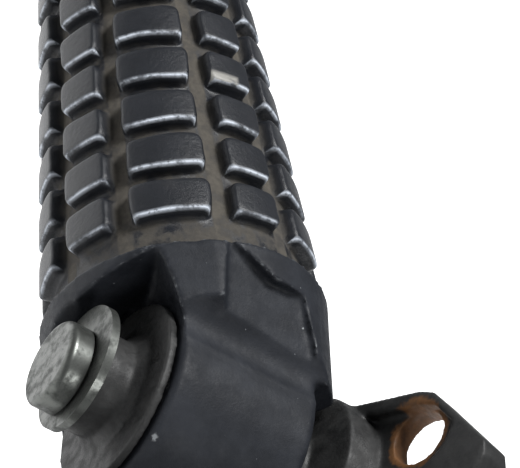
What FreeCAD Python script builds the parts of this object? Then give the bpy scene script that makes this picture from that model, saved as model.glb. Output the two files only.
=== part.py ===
import FreeCAD, Part
import Sketcher
import os
import re

# Folding motorcycle foot peg, in millimetres.
# Row frame: +X forward and square to the mounting flange, +Y outboard, +Z up.
# Its origin is midway between the two bolt holes, on the flange's seating face.
# Sub-parts are drawn in one of two frames and placed in the row frame:
#   peg frame: origin at the centre of the collar's rim, Y along the peg towards its tip;
#   pin frame: origin on the hinge axis, Z along the pin from head to tail, Y outboard, X down.

Vector = FreeCAD.Vector
Rotation = FreeCAD.Rotation
Placement = FreeCAD.Placement
AXIS_X = Vector(1, 0, 0)
AXIS_Y = Vector(0, 1, 0)
AXIS_Z = Vector(0, 0, 1)

DIMENSIONS = [
    ("sweep_angle", 9.8),
    ("roll_angle", -16.2),
    ("pin_yaw", -13.0),
    ("pin_setback", 18.3),
    ("flange_offset", 22.7),
    ("bolt_setback", 20.8),
    ("bolt_drop", 4.4),
    ("bolt_spacing", 40.0),
    ("bolt_hole_radius", 4.1),
    ("flange_thickness", 5.0),
    ("recess_depth", 2.0),
    ("recess_radius", 7.2),
    ("border_width", 2.2),
    ("rim_radius", 20.0),
    ("collar_end_radius", 18.3),
    ("collar_depth", 20.5),
    ("collar_round", 3.0),
    ("barrel_radius", 14.2),
    ("barrel_start", -11.8),
    ("barrel_end", 9.8),
    ("barrel_chamfer", 0.7),
    ("bush_radius", 6.0),
    ("bush_length", 5.4),
    ("pocket_radius", 10.4),
    ("pocket_length", 8.8),
    ("mouth_inboard", 14.5),
    ("mouth_outboard", 7.6),
    ("pin_radius", 4.0),
    ("running_gap", 0.05),
    ("head_radius", 6.2),
    ("head_length", 3.3),
    ("head_start", -23.9),
    ("head_round", 1.0),
    ("shank_end", 19.1),
    ("head_washer_radius", 9.0),
    ("head_washer_hole", 5.1),
    ("head_washer_start", -20.2),
    ("head_washer_outboard", 0.6),
    ("head_washer_up", 0.8),
    ("tail_washer_radius", 7.4),
    ("washer_length", 1.2),
    ("thrust_radius", 8.0),
    ("thrust_length", 0.4),
    ("eye_radius", 7.1),
    ("eye_start", -18.9),
    ("ear_start", -13.5),
    ("ear_end", -12.3),
    ("ear_radius", 13.4),
    ("right_eye_start", 10.4),
    ("right_eye_flare", 13.4),
    ("right_eye_end", 15.0),
    ("boss_radius", 13.0),
    ("tail_recess_radius", 8.2),
    ("base_near", 15.4),
    ("base_far", 23.5),
    ("base_top", -1.0),
    ("base_bottom", -9.0),
    ("ear_link_bottom", -6.5),
    ("base_end", 18.4),
    ("eye_root_radius", 8.6),
    ("eye_root_length", 1.3),
    ("flare_length", 2.6),
    ("boss_length", 8.0),
    ("flange_round", 1.2),
    ("heel_reach", 20.5),
    ("heel_depth", 4.2),
    ("heel_width", 3.0),
    ("heel_station", 4.6),
    ("stop_gap", 0.25),
    ("facet_height", 18.7),
    ("facet_slope", 14.0),
    ("side_flat_turn", -32.5),
    ("side_flat_height", 19.67),
    ("side_flat_slope", 4.75),
    ("hollow_radius", 4.6),
    ("hollow_outboard", 3.2),
    ("hollow_up", 18.55),
    ("neck_edge", 14.25),
    ("rim_land", 0.4),
    ("washer_relief", 10.4),
    ("core_radius", 8.0),
    ("core_length", 83.0),
    ("thread_depth", 22.0),
    ("sleeve_length", 86.0),
    ("sleeve_tip_radius", 13.5),
    ("end_plate_length", 2.5),
    ("end_plate_radius", 13.2),
    ("lock_washer_radius", 6.8),
    ("lock_washer_length", 2.0),
    ("end_bolt_radius", 4.0),
    ("end_bolt_length", 20.0),
    ("end_bolt_flats", 13.0),
    ("end_bolt_head", 5.3),
    ("spring_wire_radius", 0.9),
    ("spring_coil_radius", 6.6),
    ("spring_pitch", 1.85),
    ("spring_turns", 3.5),
    ("spring_spin", 90.0),
    ("leg_drop", 10.4),
    ("leg_reach", 19.0),
    ("leg_hole_radius", 1.2),
    ("hook_drop", 6.0),
    ("hook_reach", 11.0),
    ("split_pin_radius", 1.0),
    ("split_pin_station", 17.4),
]

doc = FreeCAD.newDocument("foot_peg")


def make_sheet():
    """Put every driving dimension in the spreadsheet, one aliased cell each."""
    table = doc.addObject("Spreadsheet::Sheet", "dimensions")
    for row, (name, value) in enumerate(DIMENSIONS, start=1):
        table.set("A%d" % row, name)
        table.set("B%d" % row, str(value))
        table.setAlias("B%d" % row, name)
    doc.recompute()
    return table


sheet = make_sheet()


def dim(name):
    """A driving dimension's value, read from the sheet."""
    return float(sheet.get(name))


def bind(thing, **expressions):
    """Bind properties to the sheet; each alias in an expression is a word with an underscore."""
    for prop, text in expressions.items():
        linked = re.sub(r"[a-z]+(?:_[a-z]+)+", lambda found: "dimensions." + found.group(0), text)
        thing.setExpression(prop, linked)


# ---- frames ----

PEG_FRAME = Placement(
    Vector(-dim("flange_offset"), dim("bolt_setback"), -dim("bolt_drop")),
    Rotation(AXIS_Z, dim("sweep_angle")) * Rotation(AXIS_Y, dim("roll_angle")),
)
PIN_IN_PEG = Placement(
    Vector(0, -dim("pin_setback"), 0),
    Rotation(AXIS_Z, dim("pin_yaw")) * Rotation(AXIS_Y, 90),
)
PIN_FRAME = PEG_FRAME * PIN_IN_PEG
ALONG_PEG = Rotation(AXIS_X, -90)
TOWARDS_PIVOT = Rotation(AXIS_X, 90)
DOWN_TO_UP = Rotation(AXIS_Y, -90)
OUTBOARD = Rotation(AXIS_X, -90)


def at_pin(frame, station, outboard=0.0, up=0.0, spin=0.0):
    """A place in the pin frame: station along the pin, outboard of it, above it, spun about it."""
    return frame * Placement(Vector(-up, outboard, station), Rotation(AXIS_Z, spin))


def on_peg(station, rotation=ALONG_PEG):
    """A place on the peg's axis, Z along the peg."""
    return Placement(Vector(0, station, 0), rotation)


# ---- Part helpers ----

def cylinder(name, place, radius, height):
    solid = doc.addObject("Part::Cylinder", name)
    bind(solid, Radius=radius, Height=height)
    solid.Placement = place
    return solid


def cone(name, place, first, second, height):
    solid = doc.addObject("Part::Cone", name)
    bind(solid, Radius1=first, Radius2=second, Height=height)
    solid.Placement = place
    return solid


def box(name, place, length, width, height):
    solid = doc.addObject("Part::Box", name)
    bind(solid, Length=length, Width=width, Height=height)
    solid.Placement = place
    return solid


def prism(name, place, points, height):
    """An upright prism on a closed outline of (x, y) points."""
    outline = doc.addObject("Part::Polygon", name + "_outline")
    outline.Nodes = [Vector(x, y, 0) for x, y in points]
    outline.Close = True
    solid = doc.addObject("Part::Extrusion", name)
    solid.Base = outline
    solid.DirMode = "Custom"
    solid.Dir = AXIS_Z
    solid.Solid = True
    bind(solid, LengthFwd=height)
    solid.Placement = place
    return solid


def fuse(name, *solids):
    joined = doc.addObject("Part::MultiFuse", name)
    joined.Shapes = list(solids)
    joined.Refine = True
    return joined


def common(name, *solids):
    shared = doc.addObject("Part::MultiCommon", name)
    shared.Shapes = list(solids)
    return shared


def cut(name, body, *tools):
    """Subtract each tool in turn; the last result carries the name."""
    result = body
    for number, tool in enumerate(tools, start=1):
        step = doc.addObject("Part::Cut", name if number == len(tools) else "%s_cut_%d" % (name, number))
        step.Base = result
        step.Tool = tool
        result = step
    return result


def round_edges(name, base, radius, wanted, kind="Part::Fillet"):
    """Fillet or chamfer the base's edges for which wanted(edge) is true."""
    doc.recompute()
    feature = doc.addObject(kind, name)
    feature.Base = base
    size = dim(radius)
    feature.Edges = [
        (number, size, size)
        for number, edge in enumerate(base.Shape.Edges, start=1)
        if wanted(edge)
    ]
    return feature


def is_circle(radius):
    """A test for full circular edges of one radius."""
    def test(edge):
        return isinstance(edge.Curve, Part.Circle) and edge.isClosed() and abs(edge.Curve.Radius - radius) < 0.01
    return test


def is_corner_along(axis):
    """A test for straight edges that run along an axis."""
    def test(edge):
        return isinstance(edge.Curve, Part.Line) and abs(abs(edge.Curve.Direction.dot(axis)) - 1) < 0.001
    return test


def bar(points, radius):
    """A bent round bar through the points, with a slightly larger ball at each bend."""
    pieces = [Part.makeCylinder(radius, (b - a).Length, a, b - a) for a, b in zip(points, points[1:])]
    pieces += [Part.makeSphere(1.04 * radius, corner) for corner in points[1:-1]]
    return pieces


# ---- PartDesign helpers ----

def new_body(name, place):
    body = doc.addObject("PartDesign::Body", name)
    body.Placement = place
    return body


def origin_plane(body, role):
    for feature in body.Origin.OriginFeatures:
        if feature.Role == role:
            return feature
    raise ValueError(role)


def new_sketch(body, name, role):
    sketch = body.newObject("Sketcher::SketchObject", name)
    sketch.AttachmentSupport = (origin_plane(body, role), [""])
    sketch.MapMode = "FlatFace"
    return sketch


def bound_circle(sketch, radius):
    """A circle on the sketch's origin, its radius bound to a sheet expression."""
    index = sketch.addGeometry(Part.Circle(Vector(0, 0, 0), AXIS_Z, 5.0), False)
    sketch.addConstraint(Sketcher.Constraint("Coincident", index, 3, -1, 1))
    size = sketch.addConstraint(Sketcher.Constraint("Radius", index, 5.0))
    bind(sketch, **{"Constraints[%d]" % size: radius})
    return index


def pad(body, name, sketch, length):
    feature = body.newObject("PartDesign::Pad", name)
    feature.Profile = sketch
    bind(feature, Length=length)
    doc.recompute()
    return feature


def ring(name, place, outer, inner, length):
    """A washer, bush or sleeve: two circles padded along Z."""
    body = new_body(name, place)
    sketch = new_sketch(body, name + "_profile", "XY_Plane")
    bound_circle(sketch, outer)
    bound_circle(sketch, inner)
    pad(body, name + "_pad", sketch, length)
    return body


def rod(body, name, radius, length):
    """A round rod from the body's origin along +Z."""
    sketch = new_sketch(body, name + "_profile", "XY_Plane")
    bound_circle(sketch, radius)
    return pad(body, name + "_pad", sketch, length)


def hexagon(sketch, across_flats):
    """A regular hexagon about the sketch's origin."""
    corners = [Rotation(AXIS_Z, 60 * k).multVec(Vector(7.5, 0, 0)) for k in range(6)]
    guide = sketch.addGeometry(Part.Circle(Vector(0, 0, 0), AXIS_Z, 7.5), True)
    sketch.addConstraint(Sketcher.Constraint("Coincident", guide, 3, -1, 1))
    size = sketch.addConstraint(Sketcher.Constraint("Radius", guide, 7.5))
    bind(sketch, **{"Constraints[%d]" % size: across_flats + " / 2 / cos(30 deg)"})
    sides = [sketch.addGeometry(Part.LineSegment(corners[k], corners[(k + 1) % 6]), False) for k in range(6)]
    for k, side in enumerate(sides):
        sketch.addConstraint(Sketcher.Constraint("Coincident", side, 2, sides[(k + 1) % 6], 1))
        sketch.addConstraint(Sketcher.Constraint("PointOnObject", side, 1, guide))
        if k:
            sketch.addConstraint(Sketcher.Constraint("Equal", sides[0], side))
    sketch.addConstraint(Sketcher.Constraint("PointOnObject", sides[0], 1, -1))


# ---- fixed pieces: bracket, hinge pin and what sits on the pin ----

# Half of the flange's outline above the hinge, as (outboard, up); the lower half mirrors it.
FLANGE_UPPER = [
    (11.3, 5.1), (5.8, 22.0), (4.4, 24.2), (-8.0, 31.7), (-10.4, 31.5), (-11.8, 29.4), (-20.0, 8.0),
]
FLANGE_TURN = Rotation(AXIS_Z, 90) * Rotation(AXIS_X, 90)


def behind_seat(depth, outboard=0.0, up=0.0):
    """A place facing +X, depth behind the flange's seating face; x is outboard and y is up."""
    return Placement(Vector(-depth, outboard, up), FLANGE_TURN)


def mirrored(points):
    return points + [(x, -y) for x, y in reversed(points)]


def inset_outboard(points, margin):
    """The outline with its outboard edge moved inboard, for the recess behind the raised border."""
    return [(x - margin, y) for x, y in points]


def make_flange():
    """Plate with two bolt holes; each hole sits in a recess bounded by a raised outboard border."""
    thickness = dim("flange_thickness")
    sharp = prism("flange_plate", behind_seat(thickness), mirrored(FLANGE_UPPER), "flange_thickness")
    plate = round_edges("flange_rounded", sharp, "flange_round", is_corner_along(AXIS_X))
    inside = prism(
        "flange_inside", behind_seat(thickness),
        mirrored(inset_outboard(FLANGE_UPPER, dim("border_width"))), "recess_depth",
    )
    cutters = []
    for side, sign in (("upper", 1), ("lower", -1)):
        centre = sign * dim("bolt_spacing") / 2
        spot = cylinder("spot_face_" + side, behind_seat(thickness, 0, centre), "recess_radius", "recess_depth")
        channel = box(
            "recess_" + side, behind_seat(thickness, -7, centre - 12 if sign > 0 else centre),
            "14", "12", "recess_depth",
        )
        wide = fuse("recess_shape_" + side, spot, channel)
        cutters.append(common("recess_cut_" + side, wide, inside))
        cutters.append(cylinder(
            "bolt_hole_" + side, behind_seat(thickness + 1, 0, centre), "bolt_hole_radius", "flange_thickness + 2",
        ))
    return cut("flange", plate, *cutters)


def make_eyes():
    """Left eye with its flared root, and the right eye that opens into the flange's boss."""
    root_start = dim("ear_start") - dim("eye_root_length")
    left_eye = cylinder("left_eye", at_pin(PIN_FRAME, dim("eye_start")), "eye_radius", "ear_start - eye_start + 0.1")
    left_root = cone("left_root", at_pin(PIN_FRAME, root_start), "eye_radius", "eye_root_radius", "eye_root_length")
    right_eye = cylinder(
        "right_eye", at_pin(PIN_FRAME, dim("right_eye_start")), "eye_radius",
        "right_eye_flare - right_eye_start + 0.1",
    )
    flare = cone("flare", at_pin(PIN_FRAME, dim("right_eye_flare")), "eye_radius", "boss_radius", "flare_length")
    boss_start = dim("right_eye_flare") + dim("flare_length")
    boss = cylinder("boss", at_pin(PIN_FRAME, boss_start), "boss_radius", "boss_length")
    return [left_eye, left_root, right_eye, flare, boss]


def make_bracket():
    """Clevis: left eye and thin ear, right eye flaring into the flange, and a base joining them."""
    left_ear = cylinder("left_ear", at_pin(PIN_FRAME, dim("ear_start")), "ear_radius", "ear_end - ear_start")
    ear_web = box(
        "ear_web", at_pin(PIN_FRAME, dim("ear_start"), -dim("base_far"), dim("base_top")),
        "base_top - base_bottom", "base_far - 6", "ear_end - ear_start",
    )
    ear_link = box(
        "ear_link", at_pin(PIN_FRAME, dim("eye_start"), -dim("base_far"), dim("base_top")),
        "base_top - ear_link_bottom", "base_far - base_near", "ear_end - eye_start",
    )
    base = box(
        "base", at_pin(PIN_FRAME, dim("ear_start"), -dim("base_far"), dim("base_top")),
        "base_top - base_bottom", "base_far - base_near", "base_end - ear_start",
    )
    casting = fuse("casting", left_ear, ear_web, ear_link, base, *make_eyes(), make_flange())
    beyond_seat = box("beyond_seat", Placement(Vector(0, -60, -60), Rotation()), "40", "120", "120")
    pin_hole = cylinder("pin_hole", at_pin(PIN_FRAME, -30), "pin_radius + running_gap", "70")
    tail_recess = cylinder("tail_recess", at_pin(PIN_FRAME, dim("right_eye_end")), "tail_recess_radius", "30")
    leg_hole = cylinder(
        "spring_leg_hole",
        at_pin(PIN_FRAME, spring_end(), -dim("leg_reach"), dim("base_bottom") - 1) * Placement(Vector(), DOWN_TO_UP),
        "leg_hole_radius", "4",
    )
    bracket = cut("bracket", casting, beyond_seat, pin_hole, tail_recess, leg_hole)
    return [bracket]


def make_pivot_pin():
    """Headed clevis pin with a cross hole near its tail for the split pin."""
    body = new_body("pivot_pin", at_pin(PIN_FRAME, dim("head_start")))
    head = rod(body, "pin_head", "head_radius", "head_length")
    rim = [
        "Edge%d" % number for number, edge in enumerate(head.Shape.Edges, start=1)
        if isinstance(edge.Curve, Part.Circle) and edge.CenterOfMass.z < 0.01
    ]
    soft_rim = body.newObject("PartDesign::Fillet", "pin_head_round")
    soft_rim.Base = (head, rim)
    bind(soft_rim, Radius="head_round")
    doc.recompute()
    rod(body, "pin_shank", "pin_radius", "shank_end - head_start")
    cross = new_sketch(body, "cross_hole_profile", "XZ_Plane")
    hole = cross.addGeometry(Part.Circle(Vector(0, 42.5, 0), AXIS_Z, 1.1), False)
    cross.addConstraint(Sketcher.Constraint("PointOnObject", hole, 3, -2))
    width = cross.addConstraint(Sketcher.Constraint("Radius", hole, 1.1))
    height = cross.addConstraint(Sketcher.Constraint("DistanceY", -1, 1, hole, 3, 42.5))
    bind(cross, **{
        "Constraints[%d]" % width: "split_pin_radius + running_gap",
        "Constraints[%d]" % height: "split_pin_station - head_start",
    })
    drilled = body.newObject("PartDesign::Pocket", "cross_hole")
    drilled.Profile = cross
    drilled.Midplane = True
    bind(drilled, Length="4 * pin_radius")
    doc.recompute()
    return [body]


def make_split_pin():
    """Split pin: a shank through the cross hole, an eye at one end and bent legs at the other."""
    station = dim("split_pin_station")
    start = -dim("pin_radius") - 1.4
    shank = cylinder("split_shank", at_pin(PIN_FRAME, station, start) * Placement(Vector(), OUTBOARD),
                     "split_pin_radius", "11")
    eye = cylinder("split_eye", at_pin(PIN_FRAME, station - 0.6, start - 0.6), "1.7 * split_pin_radius", "1.2")
    eye_hole = cylinder("split_eye_hole", at_pin(PIN_FRAME, station - 1, start - 1.2), "0.6", "2")
    leg = cylinder(
        "split_leg", PIN_FRAME * Placement(Vector(-2.2, start + 10.2, station), Rotation(AXIS_Y, 90)),
        "0.6 * split_pin_radius", "4.4",
    )
    return [cut("split_pin", fuse("split_solid", shank, eye, leg), eye_hole)]


def spring_start():
    """Station of the coil's first turn; the coil sits midway along the arm's pocket."""
    return -dim("spring_pitch") * dim("spring_turns") / 2


def spring_end():
    return -spring_start()


def make_spring():
    """Torsion spring about the pin: one end hooked into the bracket's base, the other into the arm."""
    wire = dim("spring_wire_radius")
    coil = dim("spring_coil_radius")
    length = spring_end() - spring_start()
    helix = Part.Wire(Part.makeHelix(dim("spring_pitch"), length, coil).Edges)
    section = Part.Wire([Part.makeCircle(wire, Vector(coil, 0, 0), AXIS_Y)])
    turns = helix.makePipeShell([section], True, True)
    hook = bar([
        Vector(coil, 0, 0), Vector(coil, -dim("hook_drop"), 0), Vector(dim("hook_reach"), -dim("hook_drop"), 0),
    ], wire)
    leg = bar([
        Vector(-coil, 0, length), Vector(-coil, -dim("leg_drop"), length),
        Vector(-dim("leg_reach"), -dim("leg_drop"), length), Vector(-dim("leg_reach"), dim("base_bottom") + 2, length),
    ], wire)
    spring = doc.addObject("Part::Feature", "return_spring")
    spring.Shape = turns.fuse(hook + leg).removeSplitter()
    spring.Placement = at_pin(PIN_FRAME, spring_start(), 0, 0, dim("spring_spin"))
    return [spring]


# ---- swinging pieces: arm, bushes, rubber and its end fixings ----

def left_reliefs():
    """Cuts at the pin's head end: a cone opening away from the barrel, and room for ear and washer."""
    edge_start = dim("barrel_start") + 0.05
    opening = cone(
        "neck_opening", at_pin(PIN_IN_PEG, edge_start - 20), "neck_edge + 20", "neck_edge", "20",
    )
    wall_facing = Vector(-0.184, 1, -0.17)
    wall = Placement(Vector(0, -0.36, 0), Rotation(AXIS_Z, wall_facing))
    before_wall = box("before_wall", wall * Placement(Vector(-60, -60, -60), Rotation()), "120", "120", "60")
    ear_room = cylinder("ear_room", at_pin(PIN_IN_PEG, edge_start - 2.2), "neck_edge", "2.2")
    washer_room = cylinder("washer_room", at_pin(PIN_IN_PEG, -40), "washer_relief", "26.2")
    behind_rim = box("behind_rim", Placement(Vector(-60, -60, -60), Rotation()), "120", "60 - rim_land", "120")
    return [common("left_opening", opening, before_wall, behind_rim), ear_room, washer_room]


def make_collar():
    """Cone behind the rubber, rounded at its pivot end and cut back around the hinge."""
    plain = cone("collar_cone", on_peg(0, TOWARDS_PIVOT), "rim_radius", "collar_end_radius", "collar_depth")
    collar = round_edges("collar_rounded", plain, "collar_round", is_circle(dim("collar_end_radius")))
    over_barrel = box("over_barrel", at_pin(PIN_IN_PEG, -45, -60, 45), "90", "61.5", "90")
    hollow = cylinder(
        "neck_hollow", at_pin(PIN_IN_PEG, -45, dim("hollow_outboard"), dim("hollow_up")), "hollow_radius", "90",
    )
    right_relief = cylinder("right_relief", at_pin(PIN_IN_PEG, dim("barrel_end")), "8.2", "30")
    flare_relief = cone("flare_relief", at_pin(PIN_IN_PEG, dim("right_eye_flare") - 1), "8.2", "20", "6")
    low_corner = box("low_corner", Placement(Vector(6, -40, -30), Rotation()), "30", "34", "33")
    right_corner = box("right_corner", Placement(Vector(9.5, -40, -30), Rotation()), "30", "24.5", "60")
    return cut("collar", collar, over_barrel, hollow, *left_reliefs(), right_relief, flare_relief, low_corner,
               right_corner)


# The top facet's outline on its own sloping plane, as (across the peg, along it).
FACET = [
    (-5.4, 0.3), (1.2, -4.3), (6.7, -4.9), (7.5, -8.4), (8.5, -11.2), (8.8, -14), (8.8, -40), (-5.4, -40),
]


def make_facets():
    """The sloping top facet sunk below its shoulder, the bank on its left, and the flat beside that."""
    top = Placement(Vector(0, 0, dim("facet_height")), Rotation(AXIS_X, dim("facet_slope")))
    facet = prism("top_facet", top, FACET, "20")
    bank = prism("facet_bank", top * Placement(Vector(), TOWARDS_PIVOT), [(-5.4, 0), (-9.0, 4.9), (-5.3, 4.9)], "40")
    beside = Placement(Vector(), Rotation(AXIS_Y, dim("side_flat_turn")))
    sloping = Placement(Vector(0, 0, dim("side_flat_height")), Rotation(AXIS_X, dim("side_flat_slope")))
    flat = box("side_flat", beside * sloping * Placement(Vector(-10, -40, 0), Rotation()), "20", "41", "10")
    return [facet, bank, flat]


def make_barrel():
    plain = cylinder("barrel_plain", at_pin(PIN_IN_PEG, dim("barrel_start")), "barrel_radius",
                     "barrel_end - barrel_start")
    return round_edges("barrel", plain, "barrel_chamfer", is_circle(dim("barrel_radius")), "Part::Chamfer")


def make_heels():
    """Two stop heels that rest under the bracket's base when the peg is down."""
    up = dim("base_bottom") - dim("stop_gap")
    heels = []
    for side, station in (("left", -dim("heel_station") - dim("heel_width")), ("right", dim("heel_station"))):
        heels.append(box(
            "heel_" + side, at_pin(PIN_IN_PEG, station, -dim("heel_reach"), up),
            "heel_depth", "heel_reach - 4", "heel_width",
        ))
    return heels


def make_arm():
    """One casting: collar and neck, barrel with its stop heels, and the core inside the rubber."""
    collar = cut("neck", make_collar(), *make_facets())
    core = cylinder("core", on_peg(-3), "core_radius", "core_length + 3")
    solid = fuse("arm_solid", collar, make_barrel(), core, *make_heels())
    bore = cylinder("bore", at_pin(PIN_IN_PEG, -30), "bush_radius", "60")
    pocket_start = -dim("pocket_length") / 2
    pocket = cylinder("spring_pocket", at_pin(PIN_IN_PEG, pocket_start), "pocket_radius", "pocket_length")
    mouth = box(
        "pocket_mouth", at_pin(PIN_IN_PEG, pocket_start, -dim("mouth_inboard")),
        "30", "mouth_inboard + mouth_outboard", "pocket_length",
    )
    hook_hole = cylinder(
        "spring_hook_hole",
        at_pin(PIN_IN_PEG, spring_start(), dim("mouth_outboard") - 1, -dim("hook_drop")) * Placement(Vector(), OUTBOARD),
        "leg_hole_radius", "5",
    )
    thread = cylinder("thread_bore", on_peg(dim("core_length") - dim("thread_depth")), "end_bolt_radius",
                      "thread_depth + 1")
    arm = cut("peg_arm", solid, bore, pocket, mouth, hook_hole, thread)
    arm.Placement = PEG_FRAME
    return [arm]


def make_rubber():
    """Tapered sleeve on the core, butted against the collar."""
    outer = cone("rubber_outer", on_peg(0), "rim_radius", "sleeve_tip_radius", "sleeve_length")
    inner = cylinder("rubber_bore", on_peg(-1), "core_radius", "sleeve_length + 2")
    sleeve = cut("rubber_sleeve", outer, inner)
    sleeve.Placement = PEG_FRAME
    return [sleeve]


def make_end_fixings():
    """Plate, lock washer and bolt that hold the rubber on the core."""
    plate_start = dim("sleeve_length")
    washer_start = plate_start + dim("end_plate_length")
    head_start = washer_start + dim("lock_washer_length")
    peg_place = [PEG_FRAME * on_peg(station) for station in (plate_start, washer_start, head_start)]
    plate = ring("end_plate", peg_place[0], "end_plate_radius", "end_bolt_radius + running_gap", "end_plate_length")
    washer = ring("lock_washer", peg_place[1], "lock_washer_radius", "end_bolt_radius + running_gap",
                  "lock_washer_length")
    bolt = new_body("end_bolt", peg_place[2])
    head = new_sketch(bolt, "bolt_head_profile", "XY_Plane")
    hexagon(head, "end_bolt_flats")
    pad(bolt, "bolt_head", head, "end_bolt_head")
    shank = new_sketch(bolt, "bolt_shank_profile", "XY_Plane")
    bound_circle(shank, "end_bolt_radius")
    threaded = pad(bolt, "bolt_shank", shank, "end_bolt_length")
    threaded.Reversed = True
    return [plate, washer, bolt]


def make_pin_washers():
    """A loose washer with a wide hole under the pin's head, and a close one at its tail."""
    head_place = at_pin(
        PIN_FRAME, dim("head_washer_start"), dim("head_washer_outboard"), dim("head_washer_up"),
    )
    tail_place = at_pin(PIN_FRAME, dim("right_eye_end") + dim("running_gap"))
    return [
        ring("head_washer", head_place, "head_washer_radius", "head_washer_hole", "washer_length"),
        ring("tail_washer", tail_place, "tail_washer_radius", "pin_radius + running_gap", "washer_length"),
    ]


def make_thrust_washers():
    places = (("left", dim("ear_end") + 0.05), ("right", dim("barrel_end") + 0.05))
    return [
        ring("thrust_washer_" + side, at_pin(PIN_FRAME, station), "thrust_radius", "pin_radius + running_gap",
             "thrust_length")
        for side, station in places
    ]


def make_bushes():
    places = (("left", dim("barrel_start")), ("right", dim("barrel_end") - dim("bush_length")))
    return [
        ring("bush_" + side, at_pin(PIN_FRAME, station), "bush_radius", "pin_radius + running_gap", "bush_length")
        for side, station in places
    ]


MAKERS = [
    make_bracket, make_pivot_pin, make_split_pin, make_spring, make_pin_washers, make_thrust_washers,
    make_arm, make_bushes, make_rubber, make_end_fixings,
]


def check(parts):
    """Stop before writing anything if an object failed or a sub-part has no valid solid."""
    for thing in doc.Objects:
        if "Invalid" in thing.State or "Error" in thing.State:
            raise RuntimeError("%s is %s" % (thing.Name, thing.State))
    for part in parts:
        shape = part.Shape
        if shape.isNull() or not shape.isValid() or not shape.Solids:
            raise RuntimeError(part.Label + " has no valid solid")
        print("%-22s solids %d volume %9.1f" % (part.Label, len(shape.Solids), shape.Volume))


def main():
    parts = [part for maker in MAKERS for part in maker()]
    doc.recompute()
    check(parts)
    os.makedirs("parts", exist_ok=True)
    for part in parts:
        part.Shape.exportStep("parts/%s.step" % part.Label)


main()
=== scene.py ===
import math

import bpy
from mathutils import Euler, Matrix, Vector, noise


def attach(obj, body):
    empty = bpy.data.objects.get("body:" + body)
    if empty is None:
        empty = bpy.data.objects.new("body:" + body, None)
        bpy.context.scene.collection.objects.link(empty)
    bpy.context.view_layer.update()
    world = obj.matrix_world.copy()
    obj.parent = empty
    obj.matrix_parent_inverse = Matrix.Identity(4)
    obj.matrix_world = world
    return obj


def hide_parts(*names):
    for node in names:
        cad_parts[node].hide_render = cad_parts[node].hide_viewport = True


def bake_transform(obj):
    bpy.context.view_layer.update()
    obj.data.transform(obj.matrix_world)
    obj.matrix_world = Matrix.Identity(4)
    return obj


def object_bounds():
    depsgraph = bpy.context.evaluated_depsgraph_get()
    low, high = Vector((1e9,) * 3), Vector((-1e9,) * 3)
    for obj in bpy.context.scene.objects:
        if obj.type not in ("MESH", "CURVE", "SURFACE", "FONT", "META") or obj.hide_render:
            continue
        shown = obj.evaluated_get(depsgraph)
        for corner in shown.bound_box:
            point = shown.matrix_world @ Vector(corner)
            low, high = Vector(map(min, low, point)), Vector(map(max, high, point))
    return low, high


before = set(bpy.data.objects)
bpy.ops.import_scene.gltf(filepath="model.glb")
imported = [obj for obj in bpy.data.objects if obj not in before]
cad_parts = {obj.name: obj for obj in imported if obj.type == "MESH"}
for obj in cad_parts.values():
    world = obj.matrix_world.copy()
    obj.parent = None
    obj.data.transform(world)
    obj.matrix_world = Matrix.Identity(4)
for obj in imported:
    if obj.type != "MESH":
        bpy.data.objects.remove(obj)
cad_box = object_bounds()

MM = 0.001
scene = bpy.context.scene
scene.view_settings.view_transform = "Standard"

# The peg's own frame, as in the CAD model: origin at the centre of the collar's rim, Y towards
# the peg's tip. Its place in the row frame is a sweep about Z after a roll about Y.
RIM_CENTRE = Vector((-22.7, 20.8, -4.4)) * MM
PEG_TURN = Euler((0, math.radians(-16.2), math.radians(9.8))).to_matrix().to_4x4()
PEG = Matrix.Translation(RIM_CENTRE) @ PEG_TURN


# ---- node materials ----

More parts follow.
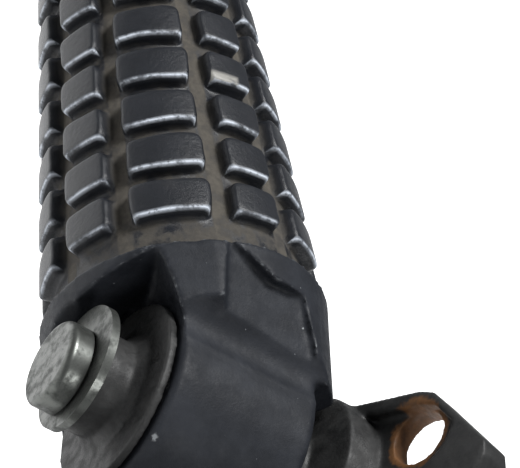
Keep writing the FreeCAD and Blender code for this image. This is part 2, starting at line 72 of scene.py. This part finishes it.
class Shader:
    """A material's node tree with short calls for the nodes that the surfaces here share."""

    def __init__(self, name, roughness=0.5, metallic=0.0, specular=0.5):
        self.material = bpy.data.materials.new(name)
        self.material.use_nodes = True
        self.tree = self.material.node_tree
        self.surface = self.tree.nodes["Principled BSDF"]
        self.surface.inputs["Roughness"].default_value = roughness
        self.surface.inputs["Metallic"].default_value = metallic
        self.surface.inputs["Specular IOR Level"].default_value = specular

    def node(self, kind, **settings):
        made = self.tree.nodes.new("ShaderNode" + kind)
        for name, value in settings.items():
            setattr(made, name, value)
        return made

    def link(self, source, target):
        self.tree.links.new(source, target)

    def feed(self, socket, value):
        """Link the value if it is a socket, or set it."""
        if hasattr(value, "links"):
            self.link(value, socket)
        else:
            socket.default_value = value

    def place(self):
        """Position on the surface in millimetres, in the piece's own frame."""
        coordinates = self.node("TexCoord")
        scaled = self.node("VectorMath", operation="SCALE")
        scaled.inputs["Scale"].default_value = 1 / MM
        self.link(coordinates.outputs["Object"], scaled.inputs[0])
        return scaled.outputs[0]

    def noise(self, size, detail=3.0, rough=0.55, offset=None):
        """Noise whose features are about `size` millimetres across."""
        spot = self.place()
        if offset:
            mapping = self.node("Mapping")
            mapping.inputs["Location"].default_value = offset
            self.link(spot, mapping.inputs[0])
            spot = mapping.outputs[0]
        pattern = self.node("TexNoise")
        pattern.inputs["Scale"].default_value = 1 / size
        pattern.inputs["Detail"].default_value = detail
        pattern.inputs["Roughness"].default_value = rough
        self.link(spot, pattern.inputs["Vector"])
        return pattern.outputs["Fac"]

    def ramp(self, value, low, high, start=0.0, end=1.0):
        """Map low..high to start..end, clamped, with a smooth step."""
        mapped = self.node("MapRange", interpolation_type="SMOOTHSTEP")
        self.feed(mapped.inputs["Value"], value)
        mapped.inputs["From Min"].default_value = low
        mapped.inputs["From Max"].default_value = high
        mapped.inputs["To Min"].default_value = start
        mapped.inputs["To Max"].default_value = end
        return mapped.outputs[0]

    def math(self, operation, first, second=0.0):
        made = self.node("Math", operation=operation)
        self.feed(made.inputs[0], first)
        self.feed(made.inputs[1], second)
        return made.outputs[0]

    def clamped(self, operation, first, second):
        """A sum or difference kept between 0 and 1."""
        result = self.math(operation, first, second)
        result.node.use_clamp = True
        return result

    def product(self, first, second):
        return self.math("MULTIPLY", first, second)

    def mix(self, amount, first, second):
        made = self.node("Mix", data_type="RGBA")
        self.feed(made.inputs["Factor"], amount)
        for socket, colour in ((made.inputs["A"], first), (made.inputs["B"], second)):
            self.feed(socket, colour if hasattr(colour, "links") else (*colour, 1.0))
        return made.outputs["Result"]

    def attribute(self, name):
        return self.node("Attribute", attribute_name=name).outputs["Fac"]

    def colour(self, value):
        self.feed(self.surface.inputs["Base Color"], value)

    def roughness(self, value):
        self.feed(self.surface.inputs["Roughness"], value)

    def bump(self, height, depth, strength=1.0):
        made = self.node("Bump")
        made.inputs["Strength"].default_value = strength
        made.inputs["Distance"].default_value = depth * MM
        self.link(height, made.inputs["Height"])
        self.link(made.outputs[0], self.surface.inputs["Normal"])


def rubber_material():
    """Black rubber: a pale painted highlight along each pad's edge on the pivot side and brown dust in the
    grooves.
    """
    look = Shader("rubber_look", specular=0.3)
    patches = look.ramp(look.noise(4.5, detail=5, rough=0.65), 0.42, 0.62)
    settled = look.ramp(look.noise(2.5, detail=5), 0.3, 0.6, 0.45, 1)
    groove = look.product(look.attribute("groove"), settled)
    floor = look.product(look.attribute("floor"), look.product(patches, 0.75))
    film = look.ramp(look.noise(6.0, detail=5, rough=0.7), 0.5, 0.8, 0.0, 0.12)
    dusty = look.clamped("ADD", look.math("MAXIMUM", groove, floor), film)
    dust = look.mix(look.noise(0.7, detail=5, rough=0.7), (0.026, 0.0235, 0.0195), (0.08, 0.0715, 0.059))
    black = look.mix(look.noise(3.0, detail=4), (0.0035, 0.0042, 0.0056), (0.0105, 0.012, 0.016))
    # A painted highlight: pale blue-grey colour along each pad's edge on the pivot side, broken up by two
    # noises.
    highlight_breakup = look.ramp(look.noise(3.2, detail=5, rough=0.65), 0.34, 0.6, 0.1, 1.0)
    highlight_gaps = look.ramp(look.noise(0.8, detail=4, rough=0.7, offset=(3, 9, 1)), 0.36, 0.46, 0.35, 1.0)
    edge_highlight = look.product(look.attribute("edge"), look.product(highlight_breakup, highlight_gaps))
    scuffed = look.product(look.attribute("scuff"), look.ramp(look.noise(1.5, detail=5), 0.3, 0.5))
    # The pale blue-grey (0.5, 0.54, 0.6) is the painted edge highlight; the rest is rubber, dust and a scuff.
    base = look.mix(edge_highlight, look.mix(dusty, black, dust), (0.5, 0.54, 0.6))
    look.colour(look.mix(scuffed, base, (0.2, 0.195, 0.18)))
    look.roughness(look.ramp(look.clamped("SUBTRACT", dusty, edge_highlight), 0.0, 0.8, 0.38, 0.85))
    look.bump(look.noise(0.7, detail=6, rough=0.75), 0.16, 0.6)
    return look.material


def paint_material():
    """Worn black paint on cast metal: mottled colour, chips on the edges, small specks and a fine bump."""
    look = Shader("black_paint_look", specular=0.16)
    geometry = look.node("NewGeometry")
    edge = look.ramp(geometry.outputs["Pointiness"], 0.53, 0.6)
    chips = look.product(edge, look.ramp(look.noise(1.3, detail=6, rough=0.75), 0.46, 0.58))
    specks = look.ramp(look.noise(1.2, detail=2, rough=0.5, offset=(7, 3, 5)), 0.75, 0.78)
    bare = look.product(look.clamped("ADD", chips, specks), 0.8)
    mottle = look.ramp(look.noise(7.0, detail=6, rough=0.65), 0.35, 0.7)
    paint = look.mix(mottle, (0.008, 0.0092, 0.012), (0.016, 0.0178, 0.022))
    look.colour(look.mix(bare, paint, (0.2, 0.21, 0.22)))
    look.roughness(look.ramp(look.noise(2.5, detail=5, rough=0.7), 0.3, 0.7, 0.46, 0.66))
    look.bump(look.noise(0.7, detail=6, rough=0.75), 0.1, 0.6)
    return look.material


def steel_material(name, dark, light, roughness=0.4):
    """Scuffed bare or plated metal, rougher where it is grimy."""
    look = Shader(name, metallic=0.8)
    grime = look.ramp(look.noise(2.4, detail=6, rough=0.7), 0.35, 0.7)
    look.colour(look.mix(grime, light, dark))
    look.roughness(look.ramp(grime, 0, 1, roughness - 0.08, roughness + 0.2))
    look.bump(look.noise(0.35, detail=5, rough=0.75), 0.02, 0.5)
    return look.material


# The bolt holes are this far above and below the row frame's X axis. Rust fades out between two distances
# from a hole's axis, and between two places along X, so that it stays on the flange.
BOLT_HOLE_HEIGHT = 20.0
RUST_FULL, RUST_END = 4.5, 5.3
RUST_BACK, RUST_FRONT = -7.0, -5.5


def from_bolt_hole(look, spot):
    """Distance in millimetres from the axis of the nearer bolt hole; both axes run along X."""
    along_line = look.math("SUBTRACT", look.math("ABSOLUTE", spot.outputs["Z"]), BOLT_HOLE_HEIGHT)
    squares = [look.math("POWER", offset, 2.0) for offset in (spot.outputs["Y"], along_line)]
    return look.math("SQRT", look.math("ADD", *squares))


def rusty_material():
    """Grey cast metal with a ragged rust ring round each bolt hole on the flange."""
    look = Shader("bracket_look", specular=0.35)
    patches = look.ramp(look.noise(3.5, detail=6, rough=0.7), 0.3, 0.7)
    grey = look.mix(patches, (0.005, 0.0052, 0.0054), (0.017, 0.0172, 0.017))
    spot = look.node("SeparateXYZ")
    look.link(look.place(), spot.inputs[0])
    raggedness = look.ramp(look.noise(2.2, detail=5, rough=0.7), 0.3, 0.7, -0.5, 0.5)
    ring = look.ramp(look.math("ADD", from_bolt_hole(look, spot), raggedness), RUST_FULL, RUST_END, 0.95, 0.0)
    rust = look.product(ring, look.ramp(spot.outputs["X"], RUST_BACK, RUST_FRONT))
    orange = look.mix(look.noise(1.2, detail=4), (0.03, 0.017, 0.009), (0.2, 0.085, 0.025))
    look.colour(look.mix(rust, grey, orange))
    look.roughness(look.ramp(look.noise(2.0, detail=5), 0.3, 0.7, 0.45, 0.7))
    look.bump(look.noise(0.7, detail=6, rough=0.75), 0.14, 0.6)
    return look.material


def floor_material():
    look = Shader("floor_look", roughness=0.9)
    pale = look.mix(look.noise(120.0), (0.93, 0.93, 0.93), (0.96, 0.96, 0.96))
    look.colour(pale)
    look.feed(look.surface.inputs["Emission Color"], pale)
    look.surface.inputs["Emission Strength"].default_value = 0.2
    return look.material


def mesh_object(name, vertices, faces, material):
    """A smooth-shaded object made from vertices and faces."""
    mesh = bpy.data.meshes.new(name)
    mesh.from_pydata(vertices, [], faces)
    mesh.validate()
    made = bpy.data.objects.new(name, mesh)
    scene.collection.objects.link(made)
    mesh.materials.append(material)
    mesh.shade_smooth()
    return made


# ---- rubber sleeve ----

# Sizes in millimetres, angles in degrees. An angle goes round the peg from the Z axis of its own frame
# towards the X axis, so away from the pin's head. A station is a distance along its Y axis.
RIM_RADIUS = 19.95
TAPER = 0.076
TREAD_DEPTH = 2.2
BORE_RADIUS = 8.02
SLEEVE_START = 0.05
SLEEVE_END = 85.95
FIRST_PAD = 5.8
ROW_PITCH = 8.24
PAD_LENGTH = 5.0
PAD_ROWS = 10
PAD_CORNER = 0.9
WIDE_COLUMN_MIDDLE = -37.0
WIDE_COLUMN_DEGREES = 32.0
GROOVE_DEGREES = 12.0
NEIGHBOUR_DEGREES = 21.0
OTHER_COLUMNS = 7
MEAN_RADIUS = 20.0
MM_PER_DEGREE = math.radians(MEAN_RADIUS)
COARSEST_DEGREES = 2.2
COARSEST_STEP = 0.8

# Grid lines run at these distances inside each edge of a pad.
EDGE_OFFSETS = (-1.05, -0.8, -0.6, -0.45, -0.25, -0.1, 0.1, 0.35, 0.8)

# A pad's wall: distance inside the pad's edge, and height as a share of the tread's depth.
WALL_PROFILE = (
    (-1.05, 0.0), (-0.8, 0.08), (-0.6, 0.45), (-0.45, 0.72),
    (-0.25, 0.88), (-0.1, 0.94), (0.1, 0.98), (0.5, 1.0),
)

# Unevenness of the moulding: the noise's scale per millimetre, and the size of what it adds.
# The part of the shift that runs lengthwise is smaller and fades out near the sleeve's ends.
COARSE_WAVES = (0.16, 0.45)
FINE_WAVES = (0.5, 0.14)
FLOOR_WAVES = (0.3, 0.12)
LENGTHWISE_SHARE = 0.6
END_FADE = 2.0

# Dust lies up to a share of the tread's depth, and in lengthwise grooves from a distance outside a pad.
FLOOR_DUST_HEIGHT = 0.25
GROOVE_DUST_START, GROOVE_DUST_FADE = 0.55, 0.35

# A pale painted highlight along each pad's edge on the collar's side: its middle, its reach to either side,
# where the search for it starts, and how far it runs past the pad's sides. A minus sign is outside the pad.
HIGHLIGHT_MIDDLE, HIGHLIGHT_REACH, HIGHLIGHT_SEARCH, HIGHLIGHT_SIDE = -0.1, 0.28, -1.2, -0.2

# A strip worn pale along one edge of a pad beside the wide column, and its middle's angle and station.
SCUFF_ANGLE, SCUFF_STATION, SCUFF_DEGREES, SCUFF_LENGTH = -2.0, 30.9, 15.0, 1.1


def column_edges():
    """Start and end angle of each column of pads, going round from the wide one."""
    centre, width = WIDE_COLUMN_MIDDLE, WIDE_COLUMN_DEGREES
    other = (360 - width - 2 * NEIGHBOUR_DEGREES - (OTHER_COLUMNS + 3) * GROOVE_DEGREES) / OTHER_COLUMNS
    widths = [width, NEIGHBOUR_DEGREES] + [other] * OTHER_COLUMNS + [NEIGHBOUR_DEGREES]
    edges = []
    angle = centre - width / 2
    for wide in widths:
        edges.append((angle, angle + wide))
        angle += wide + GROOVE_DEGREES
    return edges


def row_edges():
    """Start and end station of each row of pads."""
    starts = [FIRST_PAD + ROW_PITCH * row for row in range(PAD_ROWS)]
    return [(start, start + PAD_LENGTH) for start in starts]


def lines(edges, per_unit, start, end, widest):
    """Grid lines: close together at every pad edge and no further apart than `widest` elsewhere."""
    marks = {start, end}
    for low, high in edges:
        middle = (high - low) / 2
        for offset in EDGE_OFFSETS:
            step = min(offset / per_unit, middle)
            marks.add(round(low + step, 4))
            marks.add(round(high - step, 4))
    placed = sorted(mark for mark in marks if start <= mark <= end)
    result = []
    for low, high in zip(placed, placed[1:]):
        pieces = max(1, math.ceil((high - low) / widest))
        result += [low + (high - low) * k / pieces for k in range(pieces)]
    return result + [end]


def inside(value, edges, per_unit, wrap=None):
    """How far a value is inside the nearest pad, in millimetres; negative in a groove."""
    best = -99.0
    for low, high in edges:
        centre = (low + high) / 2
        away = abs(value - centre)
        if wrap:
            away = abs((value - centre + wrap / 2) % wrap - wrap / 2)
        best = max(best, ((high - low) / 2 - away) * per_unit)
    return best


def wall_height(depth_inside):
    """Height above the groove's floor, from 0 to 1, at a distance inside a pad's edge."""
    if depth_inside <= WALL_PROFILE[0][0]:
        return 0.0
    for (x0, y0), (x1, y1) in zip(WALL_PROFILE, WALL_PROFILE[1:]):
        if depth_inside <= x1:
            return y0 + (y1 - y0) * (depth_inside - x0) / (x1 - x0)
    return 1.0


def rounded_min(first, second):
    """The smaller of two inside distances, rounding the pad's corners."""
    if first < PAD_CORNER and second < PAD_CORNER:
        return PAD_CORNER - math.hypot(PAD_CORNER - first, PAD_CORNER - second)
    return min(first, second)


def on_sleeve(turn, radius, y):
    """A point in the row frame from its turn in radians, distance from the peg's axis and station."""
    return PEG @ (Vector((math.sin(turn) * radius, y, math.cos(turn) * radius)) * MM)


def tread_point(angle, y, columns, rows):
    """Where a grid point of the tread lies in the row frame, and its height from groove floor to pad top."""
    across = inside(angle, columns, MM_PER_DEGREE, 360)
    height = wall_height(rounded_min(across, inside(y, rows, 1.0)))
    turn = math.radians(angle)
    spot = Vector((math.sin(turn) * MEAN_RADIUS, y, math.cos(turn) * MEAN_RADIUS))
    wobble = noise.noise_vector(spot * COARSE_WAVES[0]) * COARSE_WAVES[1]
    wobble += noise.noise_vector(spot * FINE_WAVES[0]) * FINE_WAVES[1]
    radius = RIM_RADIUS - TAPER * y - TREAD_DEPTH * (1 - height)
    radius += FLOOR_WAVES[1] * noise.noise(spot * FLOOR_WAVES[0]) * (1 - height)
    near_end = min(1, y / END_FADE, (SLEEVE_END - y) / END_FADE)
    shifted = min(max(y + wobble.y * LENGTHWISE_SHARE * near_end, SLEEVE_START), SLEEVE_END)
    return on_sleeve(turn + math.radians(wobble.x / MM_PER_DEGREE), radius, shifted), height


def tread_dust_scuff_and_highlight(angle, y, height, columns, rows):
    """How far a grid point is floor, lengthwise groove, painted edge highlight and scuff, each from 0 to 1.
    """
    across = inside(angle, columns, MM_PER_DEGREE, 360)
    floor = max(0.0, 1 - height / FLOOR_DUST_HEIGHT)
    groove = min(1.0, max(0.0, (-across - GROOVE_DUST_START) / GROOVE_DUST_FADE))
    # The edge value masks a painted highlight along the pad's edge on the collar's side.
    past_edges = [y - low for low, high in rows if low + HIGHLIGHT_SEARCH < y < high]
    edge = 0.0
    if past_edges and across > HIGHLIGHT_SIDE:
        edge = max(0.0, 1 - abs(min(past_edges) - HIGHLIGHT_MIDDLE) / HIGHLIGHT_REACH)
    turned = abs((angle - SCUFF_ANGLE + 180) % 360 - 180)
    in_scuff = turned < SCUFF_DEGREES / 2 and abs(y - SCUFF_STATION) < SCUFF_LENGTH / 2
    return floor, groove, edge, 1.0 if in_scuff else 0.0


def skin_faces(around, along):
    """Faces of a grid of rings whose last ring joins its first, so that the skin closes."""
    faces = []
    for j in range(along):
        ring, following = j * around, (j + 1) % along * around
        for i in range(around):
            beside = (i + 1) % around
            faces.append((ring + i, following + i, following + beside, ring + beside))
    return faces


def make_sleeve():
    """The tread and the bore as one closed skin: grid lines follow the pads' edges."""
    columns, rows = column_edges(), row_edges()
    first_angle = columns[0][0] - GROOVE_DEGREES / 2
    angles = lines(columns, MM_PER_DEGREE, first_angle, first_angle + 360, COARSEST_DEGREES)[:-1]
    stations = lines(rows, 1.0, SLEEVE_START, SLEEVE_END, COARSEST_STEP)
    vertices = [on_sleeve(math.radians(angle), BORE_RADIUS, SLEEVE_START) for angle in angles]
    dust_scuff_and_highlight = [(0.0, 0.0, 0.0, 0.0)] * len(angles)
    for y in stations:
        for angle in angles:
            point, height = tread_point(angle, y, columns, rows)
            vertices.append(point)
            dust_scuff_and_highlight.append(tread_dust_scuff_and_highlight(angle, y, height, columns, rows))
    vertices += [on_sleeve(math.radians(angle), BORE_RADIUS, SLEEVE_END) for angle in angles]
    dust_scuff_and_highlight += [(0.0, 0.0, 0.0, 0.0)] * len(angles)
    faces = skin_faces(len(angles), len(stations) + 2)
    sleeve = mesh_object("tread_sleeve", vertices, faces, rubber_material())
    # The edge attribute carries the painted highlight; floor, groove and scuff carry dust and a scuff.
    for name, values in zip(("floor", "groove", "edge", "scuff"), zip(*dust_scuff_and_highlight)):
        layer = sleeve.data.attributes.new(name, "FLOAT", "POINT")
        layer.data.foreach_set("value", values)
    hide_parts("rubber_sleeve")
    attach(sleeve, "peg")


# ---- castings, spring and repainted CAD pieces ----

def make_casting(node, body, material, voxel, smoothing):
    """A cast piece: a copy of the CAD node remeshed and smoothed, so that its edges are soft."""
    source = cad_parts[node]
    cast = bpy.data.objects.new(node + "_casting", source.data.copy())
    scene.collection.objects.link(cast)
    cast.matrix_world = source.matrix_world
    remesh = cast.modifiers.new("remesh", "REMESH")
    remesh.mode = "VOXEL"
    remesh.voxel_size = voxel * MM
    smooth = cast.modifiers.new("smooth", "SMOOTH")
    smooth.factor = 0.5
    smooth.iterations = smoothing
    graph = bpy.context.evaluated_depsgraph_get()
    shape = bpy.data.meshes.new_from_object(cast.evaluated_get(graph))
    cast.modifiers.clear()
    cast.data = shape
    shape.materials.clear()
    shape.materials.append(material)
    shape.shade_smooth()
    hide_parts(node)
    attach(cast, body)


def make_spring(material):
    """The spring's own mesh, moved into the row frame, with a finished material."""
    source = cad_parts["return_spring"]
    wound = bpy.data.objects.new("wound_spring", source.data.copy())
    wound.data.transform(source.matrix_world)
    scene.collection.objects.link(wound)
    wound.data.materials.clear()
    wound.data.materials.append(material)
    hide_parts("return_spring")
    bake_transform(wound)


def repaint(node, material):
    """Give a CAD node's object a finished material."""
    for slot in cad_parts[node].material_slots:
        slot.material = material


black_paint = paint_material()
plated = steel_material("plated_look", (0.04, 0.0425, 0.04), (0.1, 0.105, 0.098))
spring_steel = steel_material("spring_look", (0.05, 0.048, 0.045), (0.2, 0.19, 0.18), 0.42)
bronze = steel_material("bronze_look", (0.22, 0.14, 0.07), (0.5, 0.36, 0.18), 0.4)

make_sleeve()
make_casting("peg_arm", "peg", black_paint, voxel=0.43, smoothing=2)
make_casting("end_plate", "peg", black_paint, voxel=0.3, smoothing=4)
make_casting("bracket", "bracket", rusty_material(), voxel=0.3, smoothing=4)
for node in ("pivot_pin", "head_washer", "tail_washer", "split_pin", "lock_washer", "end_bolt"):
    repaint(node, plated)
make_spring(spring_steel)
for node in ("thrust_washer_left", "thrust_washer_right"):
    repaint(node, spring_steel)
for node in ("bush_left", "bush_right"):
    repaint(node, bronze)


# ---- stage ----

# Metres, apart from the camera's places, which are millimetres in the row frame.
FLOOR_HALF_SIDE = 3.0
FLOOR_DROP = 0.06
VIEWPOINT = Vector((-269.72, -278.64, 207.33))
VIEW_TARGET = Vector((-22.757, 29.676, 9.355))
VIEW_TILT = math.radians(59.84)
LENS = 222.2


def add_floor():
    """A pale floor a little below the object."""
    level = cad_box[0].z - FLOOR_DROP
    corners = [
        (x * FLOOR_HALF_SIDE, y * FLOOR_HALF_SIDE, level) for x, y in ((-1, -1), (1, -1), (1, 1), (-1, 1))
    ]
    mesh_object("floor", corners, [(0, 1, 2, 3)], floor_material())


def add_light(name, direction, distance, size, power):
    """A soft area light that faces the object from a direction in the row frame."""
    lamp = bpy.data.lights.new(name, "AREA")
    lamp.shape = "DISK"
    lamp.size = size
    lamp.energy = power
    made = bpy.data.objects.new(name, lamp)
    away = Vector(direction).normalized()
    made.location = (Vector(cad_box[0]) + Vector(cad_box[1])) / 2 + away * distance
    made.rotation_euler = (-away).to_track_quat("-Z", "Y").to_euler()
    scene.collection.objects.link(made)


def add_world():
    """A dim, slightly blue sky."""
    world = bpy.data.worlds.new("studio")
    world.use_nodes = True
    sky = world.node_tree.nodes["Background"]
    sky.inputs["Color"].default_value = (0.93, 0.96, 1.0, 1.0)
    sky.inputs["Strength"].default_value = 0.25
    scene.world = world


def add_camera():
    """The viewer stands behind, inboard and above, 0.44 m from the collar, head tilted."""
    camera = bpy.data.objects.new("camera", bpy.data.cameras.new("camera"))
    camera.data.lens = LENS
    camera.data.sensor_width = 36.0
    camera.data.clip_start = 0.01
    camera.location = VIEWPOINT * MM
    gaze = (VIEW_TARGET * MM - camera.location).to_track_quat("-Z", "Y").to_matrix()
    tilt = Matrix.Rotation(VIEW_TILT, 3, "Z")
    camera.rotation_euler = (gaze @ tilt).to_euler()
    scene.collection.objects.link(camera)
    scene.camera = camera


add_floor()
add_world()
add_light("key", direction=(-0.25, 0.2, 0.95), distance=0.7, size=0.3, power=9.5)
add_light("front_fill", direction=(0.1, -0.8, 0.5), distance=0.8, size=0.25, power=2.2)
add_camera()
